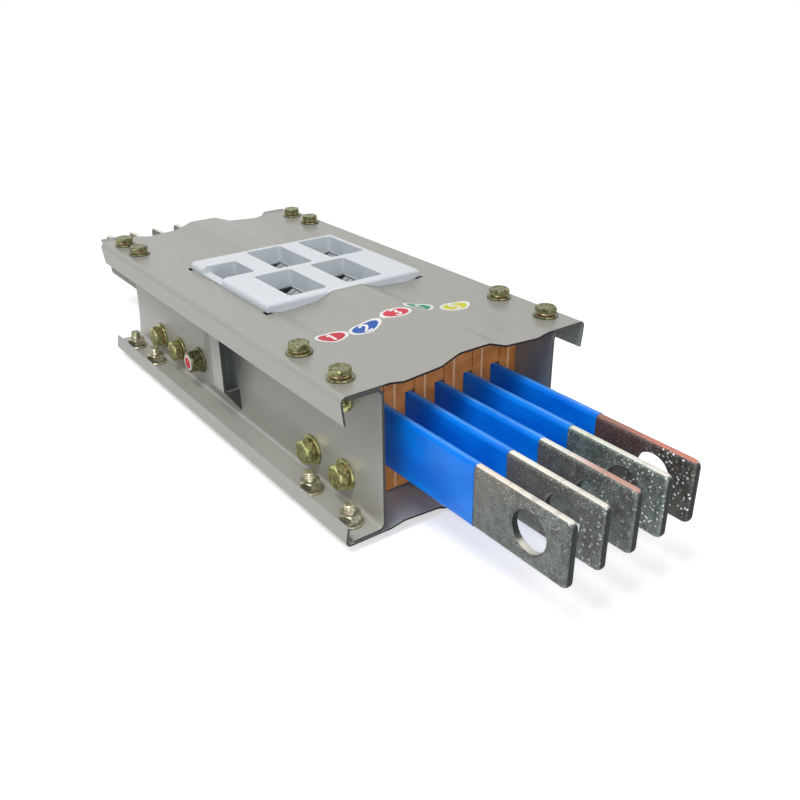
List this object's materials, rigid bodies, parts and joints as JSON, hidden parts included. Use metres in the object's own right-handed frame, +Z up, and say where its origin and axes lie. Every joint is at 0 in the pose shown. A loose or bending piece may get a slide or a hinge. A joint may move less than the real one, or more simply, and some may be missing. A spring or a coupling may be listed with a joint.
{
  "type": "plug-in busway section",
  "caption": "Straight air-insulated busway section: folded grey steel housing, insulated flat bars with bare drilled ends and a white plug-in tap-off socket on top.",
  "frame": {"origin": "on the floor under the middle of the section, which stands on its lower bolt heads", "axes": "+X along the bars towards the end nearest in the picture, +Z up towards the cover with the socket, +Y across the bars"},
  "size_m": [0.642, 0.193, 0.1122],
  "materials": {
    "grey_paint": "satin powder coat",
    "tinned_copper": "dull tin plating, mottled",
    "blue_sleeve": "shrunk sleeve",
    "orange_spacer": "moulded",
    "white_moulding": "semi-gloss",
    "contact_metal": "plated spring sheet",
    "yellow_zinc": "yellow zinc plating"
  },
  "bodies": {
    "root": {"top_cover": "grey_paint", "bottom_cover": "grey_paint", "side_panel_left": "grey_paint", "side_panel_right": "grey_paint", "busbar_1": "tinned_copper", "busbar_2": "tinned_copper", "busbar_3": "tinned_copper", "busbar_4": "tinned_copper", "busbar_5": "tinned_copper", "bar_sleeve_1": "blue_sleeve", "bar_sleeve_2": "blue_sleeve", "bar_sleeve_3": "blue_sleeve", "bar_sleeve_4": "blue_sleeve", "bar_sleeve_5": "blue_sleeve", "spacer_near_1": "orange_spacer", "spacer_near_2": "orange_spacer", "spacer_near_3": "orange_spacer", "spacer_near_4": "orange_spacer", "spacer_near_5": "orange_spacer", "spacer_near_6": "orange_spacer", "spacer_far_1": "orange_spacer", "spacer_far_2": "orange_spacer", "spacer_far_3": "orange_spacer", "spacer_far_4": "orange_spacer", "spacer_far_5": "orange_spacer", "spacer_far_6": "orange_spacer", "plug_socket": "white_moulding", "contact_jaw_1": "contact_metal", "contact_jaw_2": "contact_metal", "contact_jaw_3": "contact_metal", "contact_jaw_4": "contact_metal", "contact_jaw_5": "contact_metal", "top_bolts_left": "yellow_zinc", "top_bolts_right": "yellow_zinc", "top_washers_left": "yellow_zinc", "top_washers_right": "yellow_zinc", "top_nuts_left": "yellow_zinc", "top_nuts_right": "yellow_zinc", "bottom_bolts_left": "yellow_zinc", "bottom_bolts_right": "yellow_zinc", "bottom_washers_left": "yellow_zinc", "bottom_washers_right": "yellow_zinc", "bottom_nuts_left": "yellow_zinc", "bottom_nuts_right": "yellow_zinc", "side_bolts_left": "yellow_zinc", "side_bolts_right": "yellow_zinc", "side_washers_left": "yellow_zinc", "side_washers_right": "yellow_zinc", "earth_bolt": "yellow_zinc", "earth_washer": "yellow_zinc", "earth_nut": "yellow_zinc"}
  },
  "joints": []
}
